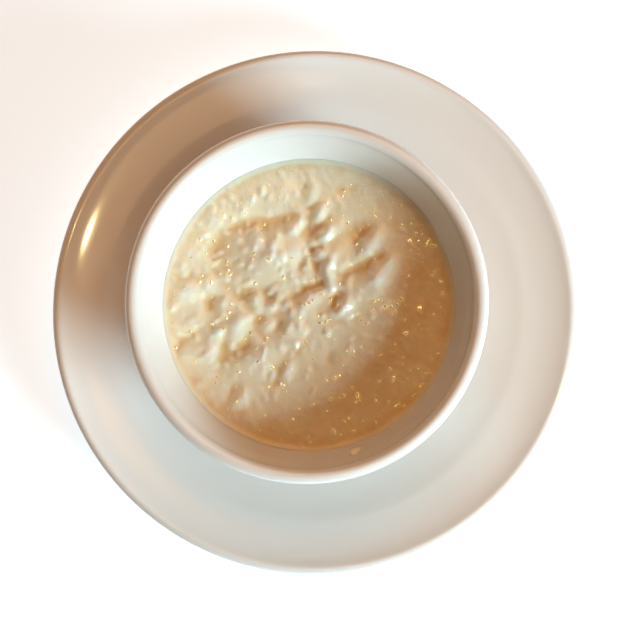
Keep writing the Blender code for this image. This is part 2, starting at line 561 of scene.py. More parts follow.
@dataclass(frozen=True)
class TableTop(Finish):
    """A plain matt white table."""

    white: Colour = (0.76, 0.83, 0.88)
    glow: Colour = (0.93, 0.98, 1.0)
    glow_strength: float = 0.7

    def build(self) -> bpy.types.Material:
        """Wires the finish.

        Returns:
            The material.
        """
        material, wires, shader = self.start()
        cloud = wires.noise(wires.add("TexCoord").outputs["Object"], 0.2)
        paler = tuple(min(1.0, 1.03 * c) for c in self.white)
        looks = {
            "Base Color": wires.mix(cloud, self.white, paler),
            "Roughness": 0.7,
            "Emission Color": (*self.glow, 1.0),
            "Emission Strength": self.glow_strength,
        }
        wires.fill(shader, looks)
        return material


# ---- China ----


@dataclass(kw_only=True)
class Turned:
    """A piece of china that is turned from its profile and stands on a foot ring."""

    node: str
    foot_outer: float
    foot_width: float
    foot_slant: float = 0.8 * MM
    foot_edge: float = 0.6 * MM
    segments: int = 176

    def profile(self) -> list[Point]:
        """The piece's section, which each kind of piece draws itself."""
        raise NotImplementedError

    def foot(self, top: Point, recess: float, level: float) -> list[Point]:
        """The foot ring after its outer top, then the recess under the piece.

        Args:
            top: The ring's outer top.
            recess: The recess's height above the ring's foot.
            level: How far inside the ring the recess is level.

        Returns:
            The points, to the axis.
        """
        inner = self.foot_outer - self.foot_width
        ring = [(self.foot_outer, 0.0), (inner, 0.0), (inner - self.foot_slant, recess)]
        corners = [top, *ring, (inner - level, recess)]
        return rounded(corners, self.foot_edge)[1:] + [(0.0, recess)]

    def build(self, finish: bpy.types.Material) -> bpy.types.Object:
        """Turns the piece and glazes it.

        Args:
            finish: The china's material.

        Returns:
            The piece.
        """
        piece = turn(f"{self.node}_china", self.profile(), self.segments)
        return finished(piece, finish, Slot.CHINA, self.node)


@dataclass(kw_only=True)
class Saucer(Turned):
    """The saucer: a sunk well, a rising side, a soft shoulder and a flared rim on a foot ring."""

    node: str = "saucer"
    radius: float = 84.0 * MM
    height: float = 19.4 * MM
    lip: float = 1.9 * MM
    lip_span: Point = (108.0, -68.0)
    well_radius: float = 28.8 * MM
    well_level: float = 6.6 * MM
    well_step: float = 1.1 * MM
    step_width: float = 3.2 * MM
    shoulder: Point = (67.0 * MM, 14.3 * MM)
    foot_outer: float = 48.6 * MM
    foot_width: float = 3.2 * MM
    foot_height: float = 3.3 * MM
    recess: float = 3.0 * MM

    def profile(self) -> list[Point]:
        """The section from the middle of the well to the middle of the underside.

        Returns:
            Radius and height of its points.
        """
        step_middle = self.well_radius + self.step_width / 2
        step_end = (self.well_radius + self.step_width, self.well_level + self.well_step)
        lip_middle = (self.radius - self.lip, self.height - self.lip)
        lip = arc(lip_middle, self.lip, *self.lip_span, 16)
        well = [(self.well_radius * i / 8, self.well_level) for i in range(9)]
        step_pull, step_push = (step_middle, self.well_level), (step_middle, step_end[1])
        top = well + bezier(well[-1], step_pull, step_push, step_end, 8)
        top += bezier(step_end, (45.0 * MM, 8.0 * MM), (57.0 * MM, 10.4 * MM), self.shoulder, 18)
        top += bezier(self.shoulder, (71.5 * MM, 15.5 * MM), (78.5 * MM, 17.2 * MM), lip[0], 12)
        foot_top = (self.foot_outer + 1.0 * MM, self.foot_height)
        under = bezier(lip[-1], (74.5 * MM, 13.2 * MM), (60.0 * MM, 7.6 * MM), foot_top, 18)
        return top + lip[1:] + under + self.foot(foot_top, self.recess, level=8 * MM)


@dataclass(kw_only=True)
class Bowl(Turned):
    """The bowl: a foot ring, a rounded side and a thick rounded lip. Heights are from its foot."""

    node: str = "bowl"
    base: float
    radius: float = 53.2 * MM
    height: float = 54.0 * MM
    lip: float = 2.2 * MM
    floor: float = 8.2 * MM
    floor_edge: Point = (17.0 * MM, 8.6 * MM)
    foot_outer: float = 26.8 * MM
    foot_width: float = 3.2 * MM
    foot_height: float = 3.2 * MM
    ridge_drop: float = 4.8 * MM
    ridge: float = 0.12 * MM

    def inside(self) -> list[Point]:
        """The inner wall from the lip down to the floor's edge.

        Returns:
            Radius and height above the foot of its points.
        """
        rim = (self.radius - 2 * self.lip, self.height - self.lip)
        pull, push = (41.8 * MM, 35.8 * MM), (39.5 * MM, 9.6 * MM)
        return [rim] + bezier(rim, pull, push, self.floor_edge, 40)

    def wall_radius(self, height: float) -> float:
        """The inner wall's radius at a height above the table."""
        wall = self.inside()[::-1]
        return float(np.interp(height - self.base, [z for _, z in wall], [r for r, _ in wall]))

    def profile(self) -> list[Point]:
        """The section from the middle of the floor to the middle of the underside.

        Returns:
            Radius and height above the table of its points.
        """
        middle = (self.radius - self.lip, self.height - self.lip)
        lip = arc(middle, self.lip, 180.0, 0.0, 20)
        wall = self.inside()[::-1]
        line = self.height - self.lip - self.ridge_drop
        spread = 0.5 * MM
        wall = [(r - self.ridge * math.exp(-(((z - line) / spread) ** 2)), z) for r, z in wall]
        reach, edge_height = self.floor_edge
        shares = [i / 6 for i in range(6)]
        floor = [(reach * s, self.floor + (edge_height - self.floor) * s**3) for s in shares]
        foot_top = (self.foot_outer + 0.9 * MM, self.foot_height)
        outside = bezier(lip[-1], (46.4 * MM, 35.8 * MM), (43.6 * MM, 8.4 * MM), foot_top, 40)
        foot = self.foot(foot_top, self.foot_height, level=6 * MM)
        section = floor + wall + lip[1:] + outside + foot
        return [(r, z + self.base) for r, z in section]


# ---- Pudding ----

# Spooned relief in millimetres, each row an oval: x, y, half length, half width, turn, height.
MOUNDS = (
    (-12.5, 13, 8.5, 6.2, 15, 1.5),
    (-4.5, 17, 3.6, 3, 30, 0.5),
    (21.5, 8.6, 5.5, 3.6, 50, 1.2),
    (14, 4, 5, 3.6, 30, 0.6),
    (-36.4, 4.3, 3.6, 3.2, 30, 1.2),
    (-30.2, 6.3, 2.6, 2.3, 60, 0.7),
    (-22, -6.2, 4.4, 3.4, 50, 1.1),
    (-15.8, -16.6, 6.2, 3.4, 34, 0.8),
    (-29.6, -13.6, 4.6, 1.9, 82, 0.8),
    (-35.4, -15, 3.8, 3, 30, 0.7),
    (-34.4, -4.3, 2.8, 2.2, 45, 0.4),
    (-26, -0.4, 2.8, 2.3, 40, 0.5),
    (-3.6, -4, 5.6, 4.2, 70, 1),
    (-6.6, -10, 5.4, 3.2, 40, 0.5),
    (3.6, -7.5, 5, 4, 30, 0.3),
    (-8, 34, 4.6, 3.4, 20, 0.5),
    (-18.6, 31, 4.6, 2.6, 40, 0.5),
    (-27.5, 26.6, 4, 2.6, 45, 0.5),
    (-35.5, 14.5, 4, 2.8, 70, 0.3),
    (-19.6, -27.6, 3.6, 2.4, 60, 0.7),
)
# Single grains close under the surface.
GRAINS = (
    (-15.2, 19.4, 2.4, 1.8, 120, 0.8),
    (-10.2, 18.6, 2.4, 1.8, 40, 0.6),
    (-10.9, 14.6, 2.6, 2, 60, 0.4),
    (-4.4, 23.2, 3.2, 1.8, 40, 0.8),
    (3.2, 27.4, 3.6, 1.7, 58, 1.1),
    (1.2, 33.4, 3.2, 1.8, 75, 0.6),
    (5.2, 21, 3.4, 1.8, 45, 1.1),
    (18.8, 18.6, 4, 2.2, 50, 1.1),
    (3.8, 15.4, 2.4, 1.6, 30, 1.1),
    (6.6, 13.2, 2.2, 1.6, 80, 1),
    (5.6, 9.6, 2.6, 1.7, 110, 1.1),
    (6.8, 5.6, 2.4, 1.6, 100, 1),
    (24, 12.6, 2.6, 2, 60, 0.5),
    (20.4, 7.6, 2.4, 2, 40, 0.5),
    (11.2, -0.6, 2.8, 2.2, 50, 1.2),
    (0.8, 1.4, 3.2, 2, 30, 0.7),
    (-16, 1.2, 2.2, 1.9, 100, 1.1),
    (-11.5, -0.4, 2.2, 1.8, 20, 0.9),
    (-6.6, -20.4, 2.9, 1.7, 52, 0.7),
    (-21.6, -29.4, 2.6, 1.6, 20, 0.4),
    (-14, -20.6, 2.3, 1.5, 45, 0.3),
    (-12.7, -6, 2.2, 1.6, 80, 0.5),
    (-20.3, -4.6, 2.4, 1.8, 60, 0.4),
    (-27, -8.6, 2.2, 1.6, 120, 0.4),
)
# Furrows and pits that the spoon left, with their depth.
HOLLOWS = (
    (-28.4, 17.2, 3, 2.6, 72, 0.9),
    (-25.6, 21.6, 3, 2.6, 45, 0.9),
    (-20.2, 23.6, 3.8, 2.4, 14, 0.9),
    (-14.2, 24.7, 3.8, 2.2, 8, 0.9),
    (-8, 26.2, 4, 1.7, 14, 0.7),
    (-28.4, 11.2, 3.4, 1.6, 100, 0.35),
    (-24.4, 12.6, 4.2, 3, 95, 0.5),
    (-25.6, 6, 3, 1.6, 135, 0.3),
    (-18.6, 3.6, 3.2, 1.9, 5, 0.8),
    (-12.6, 3, 2.6, 1.7, 120, 0.6),
    (-30, 0.8, 2.3, 2, 80, 0.8),
    (-37, 8.9, 4.2, 1.4, 14, 0.5),
    (-2.6, 4.2, 2.8, 1.5, 50, 1.1),
    (1.6, 5.9, 3.2, 1.4, 12, 1.2),
    (0.4, 23.2, 2.8, 1.9, 50, 1.2),
    (-2.3, 12.2, 3.2, 1.3, 75, 0.7),
    (0.6, 28.6, 2.6, 1.4, 62, 0.6),
    (-1.6, 35.6, 2.6, 1.3, 80, 0.4),
    (14.9, 21.4, 3.4, 2.9, 45, 1.6),
    (12.6, 10.6, 3.2, 1.6, 20, 0.8),
    (19.2, 12.9, 4.2, 1.6, 28, 1.2),
    (1.8, 16.9, 2.2, 1.4, 20, 1),
    (1.6, 11.6, 2.4, 1.4, 100, 0.9),
    (8.3, 2.2, 2.8, 1.3, 62, 0.9),
    (9.5, 35, 1.5, 1.2, 60, 0.3),
    (13, 35, 1.4, 1.2, 70, 0.3),
    (21, 30.2, 1.6, 1.3, 40, 0.25),
    (-20.6, -13.2, 5, 1.7, 38, 1),
    (-39, -11.6, 4.2, 1.6, 35, 0.6),
    (-25.6, -12.8, 4.4, 1.3, 82, 0.7),
    (-26.6, -5.6, 2.2, 1.6, 60, 0.5),
    (-16.4, -3.2, 2.6, 1.8, 130, 0.6),
    (-8.8, -6.6, 2.2, 1.4, 40, 0.6),
    (-10, -22.2, 2.8, 1.8, 60, 0.9),
    (-23.8, -27.4, 3, 1.3, 70, 0.7),
    (-28.6, -22.6, 1.7, 1.3, 30, 0.25),
    (-34.4, -22.4, 2.2, 1.4, 20, 0.25),
    (6.6, -16.2, 2.2, 1.6, 80, 0.6),
    (1.8, -19, 1.4, 1.2, 0, 0.3),
    (-0.9, -5.4, 1, 0.9, 0, 0.3),
    (11.6, -4.2, 2.6, 1.3, 8, 0.3),
)


def strewn(chance: np.random.Generator, count: int, reach: float) -> tuple:
    """Draws the x and y of places spread evenly over a disc.

    Args:
        chance: Where the draws come from.
        count: How many places.
        reach: The disc's radius.

    Returns:
        The places.
    """
    radius = reach * np.sqrt(chance.random(count))
    angle = chance.uniform(0.0, math.tau, count)
    return radius * np.cos(angle), radius * np.sin(angle)


def smoothed(share: np.ndarray) -> np.ndarray:
    """A share held between 0 and 1 and eased at both ends."""
    share = np.clip(share, 0.0, 1.0)
    return share * share * (3 - 2 * share)


def off_middle(x: np.ndarray, y: np.ndarray, row: tuple, widen: float = 1.0) -> np.ndarray:
    """How far places lie from an oval's middle, squared, with 1 on its widened outline.

    Args:
        x: The places' x, in millimetres.
        y: The places' y, in millimetres.
        row: The oval's middle x and y, half length, half width and turn.
        widen: How much the oval is widened.

    Returns:
        The squared distance at each place.
    """
    middle_x, middle_y, half_length, half_width, turn_by = row
    cos, sin = math.cos(math.radians(turn_by)), math.sin(math.radians(turn_by))
    along = ((x - middle_x) * cos + (y - middle_y) * sin) / (half_length * widen)
    across = ((y - middle_y) * cos - (x - middle_x) * sin) / (half_width * widen)
    return along**2 + across**2


@dataclass
class Relief:
    """The pudding's height above its mean level, worked out for many places at once."""

    edge: float
    seed: int = 63
    sunk_count: int = 560
    sunk_length: Point = (1.6, 2.9)
    sunk_width: Point = (1.4, 2.2)
    sunk_out: Point = (-0.2, 0.6)
    sunk_by: float = 0.1
    stroke: Point = (45.0, 22.0)
    curd_count: int = 420
    curd_size: Point = (0.9, 1.7)
    curd_stretch: Point = (1.0, 1.5)
    curd_out: Point = (-0.1, 0.45)
    curd_share: float = 1.25
    smooth_share: float = 0.10
    lumpy_middle: Point = (-13.0, 5.0)
    lumpy_reach: Point = (38.0, 36.0)
    lumpy_border: float = 1.2
    lumpy_fade: float = 0.6
    cover: float = 0.19
    crown: float = 0.9
    most_out: float = 0.8
    mound_share: float = 1.15
    hollow_share: float = 0.8
    grain_share: float = 1.25
    border: float = 5.0
    border_share: float = 0.25
    swell: float = 0.25
    swell_reach: Point = (9.0, 7.5)
    meniscus: float = 0.55
    meniscus_reach: float = 1.1

    def __post_init__(self) -> None:
        """Scatters the grains under the cream, most of them along the spoon's stroke."""
        chance = np.random.default_rng(self.seed)
        count = self.sunk_count
        x, y = strewn(chance, count, self.edge / MM)
        half_length = chance.uniform(*self.sunk_length, count)
        half_width = chance.uniform(*self.sunk_width, count)
        along_stroke = chance.random(count) < 0.5
        stroke, any_way = chance.normal(*self.stroke, count), chance.uniform(0.0, 180.0, count)
        turn_by = np.where(along_stroke, stroke, any_way)
        out = self.where_lumpy(x, y, chance.normal(*self.sunk_out, count))
        out = np.where(out > 0, self.most_out * np.tanh(out / self.most_out), out)
        self.sunk = np.column_stack((x, y, half_length, half_width, turn_by, out))
        self.curds = self.small_lumps()

    def small_lumps(self) -> np.ndarray:
        """Scatters small soft lumps between the grains, in rows of the same kind.

        Returns:
            One row for each lump.
        """
        chance = np.random.default_rng(self.seed + 1)
        count = self.curd_count
        x, y = strewn(chance, count, self.edge / MM)
        size = chance.uniform(*self.curd_size, count)
        turn_by = chance.uniform(0.0, 180.0, count)
        out = self.where_lumpy(x, y, chance.uniform(*self.curd_out, count))
        longer = chance.uniform(*self.curd_stretch, count)
        return np.column_stack((x, y, size * longer, size, turn_by, out))

    def where_lumpy(self, x: np.ndarray, y: np.ndarray, out: np.ndarray) -> np.ndarray:
        """How far lumps stand out at their places: less where the surface settled smooth."""
        return (out + self.sunk_by) * self.lumpiness(x, y) - self.sunk_by

    def lumpiness(self, x: np.ndarray, y: np.ndarray) -> np.ndarray:
        """1 where the surface was spooned into lumps, and less where it settled smooth.

        Args:
            x: The places' x, in millimetres.
            y: The places' y, in millimetres.

        Returns:
            The share at each place.
        """
        out = ((x - self.lumpy_middle[0]) / self.lumpy_reach[0]) ** 2
        out = out + ((y - self.lumpy_middle[1]) / self.lumpy_reach[1]) ** 2
        share = smoothed((self.lumpy_border - out) / self.lumpy_fade)
        return self.smooth_share + (1 - self.smooth_share) * share

    @staticmethod
    def ovals(x: np.ndarray, y: np.ndarray, rows: tuple, power: float, widen: float) -> np.ndarray:
        """The height that a set of soft ovals, each a little widened, adds at every place.

        Args:
            x: The places' x, in millimetres.
            y: The places' y, in millimetres.
            rows: The ovals.
            power: How steep the ovals' sides are.
            widen: How much each oval is widened.

        Returns:
            The added height at each place.
        """
        added = np.zeros_like(x)
        for *oval, rise in rows:
            added += rise * np.exp(-(off_middle(x, y, oval, widen) ** power))
        return added

    def under_cream(self, x: np.ndarray, y: np.ndarray, rows: np.ndarray) -> np.ndarray:
        """How far the cream is pushed up by lumps whose tops stand out by each row's last value.

        Args:
            x: The places' x, in millimetres.
            y: The places' y, in millimetres.
            rows: The lumps.

        Returns:
            The height at each place, in millimetres.
        """
        pushed = np.ones_like(x)
        for *oval, out in rows:
            pushed += np.exp((out - self.crown * off_middle(x, y, oval)) / self.cover)
        return self.cover * np.log(pushed)

    @staticmethod
    def settled(heights: np.ndarray, passes: int) -> np.ndarray:
        """A square grid of heights with its small lumps smoothed away.

        Args:
            heights: The heights.
            passes: How many times they are evened out.

        Returns:
            The smoother heights.
        """
        smooth = heights.copy()
        for _ in range(passes):
            for across in (smooth, smooth.T):
                across[1:-1] = (across[:-2] + 2 * across[1:-1] + across[2:]) / 4
        return smooth

    def heights(self, x: np.ndarray, y: np.ndarray) -> np.ndarray:
        """Heights of the surface at places given in millimetres, in millimetres.

        Args:
            x: The places' x, in millimetres.
            y: The places' y, in millimetres.

        Returns:
            The height at each place.
        """
        heap = self.mound_share * self.ovals(x, y, MOUNDS, power=1.0, widen=1.05)
        heap -= self.hollow_share * self.ovals(x, y, HOLLOWS, power=1.0, widen=1.22)
        heap += self.grain_share * self.ovals(x, y, GRAINS, power=1.1, widen=1.1)
        heap += self.under_cream(x, y, self.sunk)
        heap += self.curd_share * self.under_cream(x, y, self.curds)
        from_wall = self.edge / MM - np.hypot(x, y)
        fade = self.border_share + (1 - self.border_share) * smoothed(from_wall / self.border)
        across_x, across_y = x / self.swell_reach[0] + 0.6, y / self.swell_reach[1] - 0.4
        swell = self.swell * np.sin(across_x) * np.cos(across_y)
        away = np.maximum(from_wall, 0.0) / self.meniscus_reach
        return (heap + swell) * fade + self.meniscus * np.exp(-(away**1.5))


@dataclass
class Pudding:
    """The cream: a fine spooned surface with a body that fills the bowl just into its wall.

    Its point attribute rise says how pale it is, from tone: the middle value, then the shares of
    the small lumps, of the height and of the lumpy region. This paleness is painted light and
    painted shade: paler on lumps and heights, darker and warmer in hollows and over the settled
    region where the bowl's shadow falls.
    """

    bowl: Bowl
    # Shares of the painted light and painted shade in the cream's colour.
    painted_light_tone: tuple[float, ...] = (0.45, 0.6, 0.08, 0.07)
    below_lip: float = 16.0 * MM
    bite: float = 0.12 * MM
    cells: int = 280
    soften: int = 3
    level_out: int = 120
    lean_from: float = 0.97
    thin_from: float = 0.962
    sunk_rings: int = 5
    ring_drop: float = 6.0 * MM

    def __post_init__(self) -> None:
        """Works out the level, the edge and the relief."""
        self.level = self.bowl.base + self.bowl.height - self.below_lip
        self.edge = self.bowl.wall_radius(self.level) + self.bite
        self.relief = Relief(self.edge)

    def height_at(self, x: float, y: float) -> float:
        """The modelled surface's height above the pudding's level, all in millimetres."""
        away = (self.ground[:, 0] - x) ** 2 + (self.ground[:, 1] - y) ** 2
        return float(self.ground[np.argmin(away), 2])

    def surface(self) -> bpy.types.Object:
        """A square grid drawn into a disc, then raised and dented.

        Returns:
            The open surface with its point attributes rise and thin.
        """
        leave_all_unselected()
        cells = {"x_subdivisions": self.cells, "y_subdivisions": self.cells}
        bpy.ops.mesh.primitive_grid_add(**cells, size=2.0)
        piece = bpy.context.object
        piece.name = piece.data.name = "pudding_cream"
        flat = np.empty(len(piece.data.vertices) * 3)
        piece.data.vertices.foreach_get("co", flat)
        a, b = flat.reshape(-1, 3)[:, 0], flat.reshape(-1, 3)[:, 1]
        wide = np.abs(a) >= np.abs(b)
        reach = np.where(wide, a, b)
        safe = np.where(reach == 0.0, 1.0, reach)
        angle = np.where(wide, math.pi / 4 * b / safe, math.pi / 2 - math.pi / 4 * a / safe)
        x, y = self.edge * reach * np.cos(angle), self.edge * reach * np.sin(angle)
        side = round(math.sqrt(len(x)))
        sharp = self.relief.heights(x / MM, y / MM).reshape(side, side)
        rise = self.relief.settled(sharp, self.soften).ravel()
        lump = rise - self.relief.settled(sharp, self.level_out).ravel()
        self.ground = np.column_stack((x / MM, y / MM, rise))
        outward = np.hypot(x, y) / self.edge
        lean = self.bowl.wall_radius(self.level + MM) - self.bowl.wall_radius(self.level)
        at_wall = np.clip((outward - self.lean_from) / (1 - self.lean_from), 0, 1)
        stretch = 1 + lean / self.edge * rise * at_wall
        places = np.column_stack((x * stretch, y * stretch, self.level + rise * MM))
        piece.data.vertices.foreach_set("co", places.ravel())
        # Painted light and painted shade: paler on lumps and heights, darker and warmer in hollows
        # and over the settled region.
        shown = (1.0, lump, rise, self.relief.lumpiness(x / MM, y / MM))
        painted_light_tone = sum(share * values for share, values in zip(self.painted_light_tone, shown))
        thin = np.clip((outward - self.thin_from) / (1 - self.thin_from), 0, 1)
        for name, values in (("rise", painted_light_tone), ("thin", thin)):
            layer = piece.data.attributes.new(name, "FLOAT", "POINT")
            layer.data.foreach_set("value", values.astype(np.float32))
        return piece

    def fill(self, piece: bpy.types.Object) -> None:
        """Draws the surface's border down inside the china and closes it below.

        Args:
            piece: The open surface.
        """
        bpy.ops.object.mode_set(mode="EDIT")
        bpy.ops.mesh.select_mode(type="EDGE")
        bpy.ops.mesh.select_all(action="DESELECT")
        bpy.ops.mesh.select_non_manifold()
        radius, height = self.edge, self.level
        for _ in range(self.sunk_rings):
            lower = height - self.ring_drop
            inner = self.bowl.wall_radius(lower) + self.bite
            step = {"value": (0.0, 0.0, -self.ring_drop)}
            bpy.ops.mesh.extrude_region_move(TRANSFORM_OT_translate=step)
            shrink = inner / radius
            bpy.ops.transform.resize(value=(shrink, shrink, 1.0), center_override=(0, 0, lower))
            radius, height = inner, lower
        bpy.ops.mesh.extrude_region_move()
        bpy.ops.mesh.merge(type="CENTER")
        bpy.ops.mesh.select_all(action="SELECT")
        bpy.ops.mesh.normals_make_consistent(inside=False)
        bpy.ops.object.mode_set(mode="OBJECT")
        bpy.ops.object.shade_smooth()

    def build(self, finish: bpy.types.Material) -> bpy.types.Object:
        """Models the pudding and colours it.

        Args:
            finish: The cream's material.

        Returns:
            The pudding's cream.
        """
        piece = self.surface()
        self.fill(piece)
        return finished(piece, finish, Slot.PUDDING, "pudding")


def laid(
    pudding: Pudding, proto: bpy.types.Object, name: str, rows: np.ndarray
) -> bpy.types.Object:
    """Copies a small shape to many places on the cream and joins the copies.

    Args:
        pudding: The pudding that they lie on.
        proto: The shape, modelled about the origin with its length along X.
        name: The joined piece's name.
        rows: One row for each copy, in millimetres and degrees: x, y, half length, half
            width, half height, turn, tilt, roll and how far its middle stands above the cream.

    Returns:
        The joined piece.
    """
    shape = np.empty(len(proto.data.vertices) * 3)
    proto.data.vertices.foreach_get("co", shape)
    shape = shape.reshape(-1, 3)
    ground = [pudding.height_at(row[0], row[1]) for row in rows]
    copies = []
    for row, height in zip(rows, ground):
        x, y, half_length, half_width, half_height, turn_by, tilt, roll, above = row
        own = proto.copy()
        own.data = proto.data.copy()
        bpy.context.scene.collection.objects.link(own)
        sized = shape * np.array((half_length, half_width, half_height)) * MM
        turned = Euler([math.radians(v) for v in (roll, tilt, turn_by)]).to_matrix()
        middle = np.array((x * MM, y * MM, pudding.level + (height + above) * MM))
        own.data.vertices.foreach_set("co", (sized @ np.array(turned).T + middle).ravel())
        copies.append(own)
    bpy.data.objects.remove(proto)
    leave_all_unselected()
    for own in copies:
        own.select_set(True)
    bpy.context.view_layer.objects.active = copies[0]
    bpy.ops.object.join()
    piece = bpy.context.object
    piece.name = piece.data.name = name
    bpy.ops.object.shade_smooth()
    return piece


@dataclass
class Rice:
    """The rice that shows: the crests of the highest grains, and one that stuck to the wall."""

    pudding: Pudding
    least_out: float = 0.68
    crest: float = 0.03
    border: float = 3.5
    shrink: float = 0.85
    plump: float = 1.1
    most_tilt: float = 3.0
    stuck_turn: float = -71.8
    stuck_height: float = 53.4 * MM
    stuck_size: Triple = (1.95, 1.25, 1.1)
    stuck_lie: float = -40.0
    stuck_bend: float = 0.22
    stuck_out: float = 0.45

    @staticmethod
    def grain(bend: float) -> bpy.types.Object:
        """One grain of unit half sizes: an egg-shaped body, blunt at one end, gently bent.

        Args:
            bend: How far its middle bows aside.

        Returns:
            The grain.
        """
        leave_all_unselected()
        lying = (0, math.pi / 2, 0)
        bpy.ops.mesh.primitive_uv_sphere_add(segments=14, ring_count=10, radius=1.0, rotation=lying)
        bpy.ops.object.transform_apply(location=False, rotation=True, scale=False)
        piece = bpy.context.object
        for vertex in piece.data.vertices:
            x = vertex.co.x
            swell = 1.0 - 0.1 * x
            vertex.co.y = vertex.co.y * swell + bend * (1 - x * x)
            vertex.co.z *= swell
        return piece

    def sunk(self, finish: bpy.types.Material) -> bpy.types.Object:
        """The crests of the grains that lift the cream most.

        Args:
            finish: The rice's material.

        Returns:
            The joined grains.
        """
        relief = self.pudding.relief
        high = relief.sunk[relief.sunk[:, 5] > self.least_out]
        inside = np.hypot(high[:, 0], high[:, 1]) < self.pudding.edge / MM - self.border
        x, y, half_length, half_width, turn_by, _ = high[inside].T
        half_length, half_width = half_length * self.shrink, half_width * self.shrink
        chance = np.random.default_rng(len(x))
        still = np.zeros_like(x)
        tilt = chance.normal(0.0, self.most_tilt, len(x))
        half_height = self.plump * half_width
        sizes, above = (half_length, half_width, half_height), self.crest - half_height
        rows = np.column_stack((x, y, *sizes, turn_by, tilt, still, above))
        piece = laid(self.pudding, self.grain(0.0), "rice_crests", rows)
        return finished(piece, finish, Slot.PUDDING)

    def stuck(self, finish: bpy.types.Material) -> bpy.types.Object:
        """The grain that dried on the wall, left behind by a spoon.

        Args:
            finish: The rice's material.

        Returns:
            The grain.
        """
        piece = self.grain(self.stuck_bend)
        piece.name = piece.data.name = "stuck_grain"
        bowl = self.pudding.bowl
        rise = [bowl.wall_radius(self.stuck_height + step) for step in (-MM, MM)]
        slope = math.atan2(2 * MM, rise[1] - rise[0])
        angle = math.radians(self.stuck_turn)
        out = Vector((math.cos(angle), math.sin(angle), 0.0))
        up_wall = out * math.cos(slope) + Vector((0, 0, math.sin(slope)))
        along = Vector((-math.sin(angle), math.cos(angle), 0.0))
        lie = math.radians(self.stuck_lie)
        axis = along * math.cos(lie) + up_wall * math.sin(lie)
        facing = along.cross(up_wall) * -1.0
        if facing.dot(out) > 0:
            facing.negate()
        middle = out * bowl.wall_radius(self.stuck_height) + Vector((0, 0, self.stuck_height))
        middle += facing * self.stuck_size[2] * self.stuck_out * MM
        side = facing.cross(axis)
        for vertex in piece.data.vertices:
            x, y, z = (c * size * MM for c, size in zip(vertex.co, self.stuck_size))
            vertex.co = middle + axis * x + side * y + facing * z
        bpy.ops.object.shade_smooth()
        return finished(piece, finish, Slot.PUDDING)


@dataclass
class Bubbles:
    """Tiny wet domes on the cream: air and starch that catch the light."""

    pudding: Pudding
    count: int = 460
    seed: int = 31
    border: float = 1.5
    radius: Point = (0.10, 0.46)
    drawn_out: float = 1.2
    flat: float = 0.8
    sunk: float = 0.1
    cut: float = -0.5

    def dome(self) -> bpy.types.Object:
        """One dome of unit size: the cap of a sphere, cut flat a little below its middle.

        Returns:
            The dome.
        """
        leave_all_unselected()
        bpy.ops.mesh.primitive_uv_sphere_add(segments=12, ring_count=8, radius=1.0)
        bpy.ops.object.mode_set(mode="EDIT")
        bpy.ops.mesh.select_all(action="SELECT")
        plane = {"plane_co": (0, 0, self.cut), "plane_no": (0, 0, 1)}
        bpy.ops.mesh.bisect(**plane, clear_inner=True, use_fill=True)
        bpy.ops.object.mode_set(mode="OBJECT")
        return bpy.context.object

    def build(self, finish: bpy.types.Material) -> bpy.types.Object:
        """Scatters the domes, most of them small and some drawn out.

        Args:
            finish: The bubbles' material.

        Returns:
            The joined domes.
        """
        chance = np.random.default_rng(self.seed)
        x, y = strewn(chance, self.count, self.pudding.edge / MM - self.border)
        least, most = self.radius
        size = least + (most - least) * chance.random(self.count) ** 2
        drawn = size * (1.0 + self.drawn_out * chance.random(self.count) ** 3)
        turn_by = chance.uniform(0.0, 180.0, self.count)
        still = np.zeros(self.count)
        sizes, above = (drawn, size, self.flat * size), -self.sunk * size
        rows = np.column_stack((x, y, *sizes, turn_by, still, still, above))
        piece = laid(self.pudding, self.dome(), "cream_bubbles", rows)
        return finished(piece, finish, Slot.PUDDING)


# ---- Stage ----


